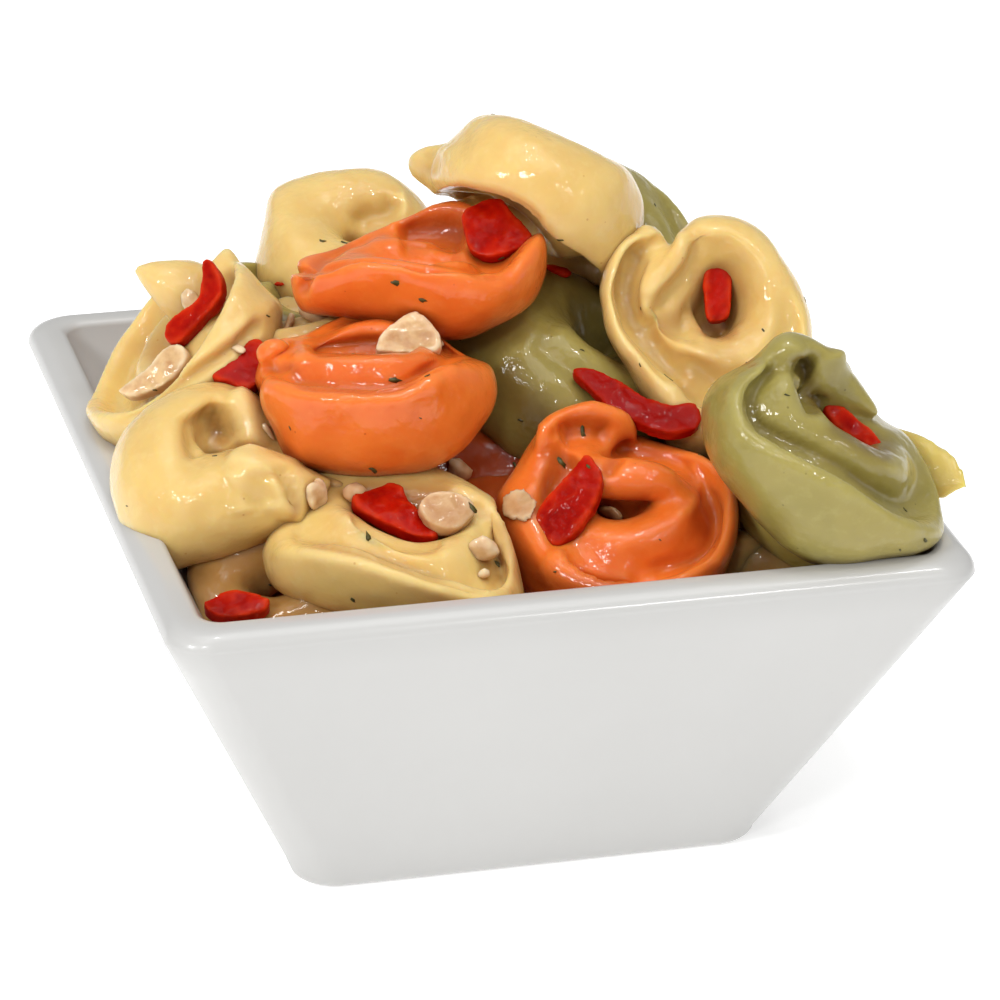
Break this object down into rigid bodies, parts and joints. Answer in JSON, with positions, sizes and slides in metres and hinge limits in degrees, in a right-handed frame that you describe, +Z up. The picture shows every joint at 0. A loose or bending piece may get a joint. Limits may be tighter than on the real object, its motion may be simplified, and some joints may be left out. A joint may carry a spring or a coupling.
{
  "type": "pasta salad",
  "caption": "Square white porcelain dish heaped with folded stuffed pasta rings in yellow, orange and green, with strips of red pepper, onion and herbs in dressing.",
  "frame": {"origin": "centre of the dish's flat underside", "axes": "+Z up; -Y is the dish's near side in the picture and +X its right side; the sides of the square dish lie along X and Y"},
  "size_m": [0.1095, 0.1085, 0.0919],
  "materials": {
    "porcelain": "gloss",
    "pasta": "satin, oiled",
    "pepper": "gloss",
    "onion": "satin"
  },
  "bodies": {
    "root": {"dish": "porcelain", "pasta_heap": "pasta", "red_pepper_top": "pepper", "red_pepper_long": "pepper", "red_pepper_right": "pepper", "red_pepper_near": "pepper", "red_pepper_spinach": "pepper", "red_pepper_cup": "pepper", "red_pepper_left": "pepper", "red_pepper_gap": "pepper", "red_pepper_corner": "pepper", "onion_top": "onion", "onion_left": "onion", "onion_cup": "onion"}
  },
  "joints": []
}
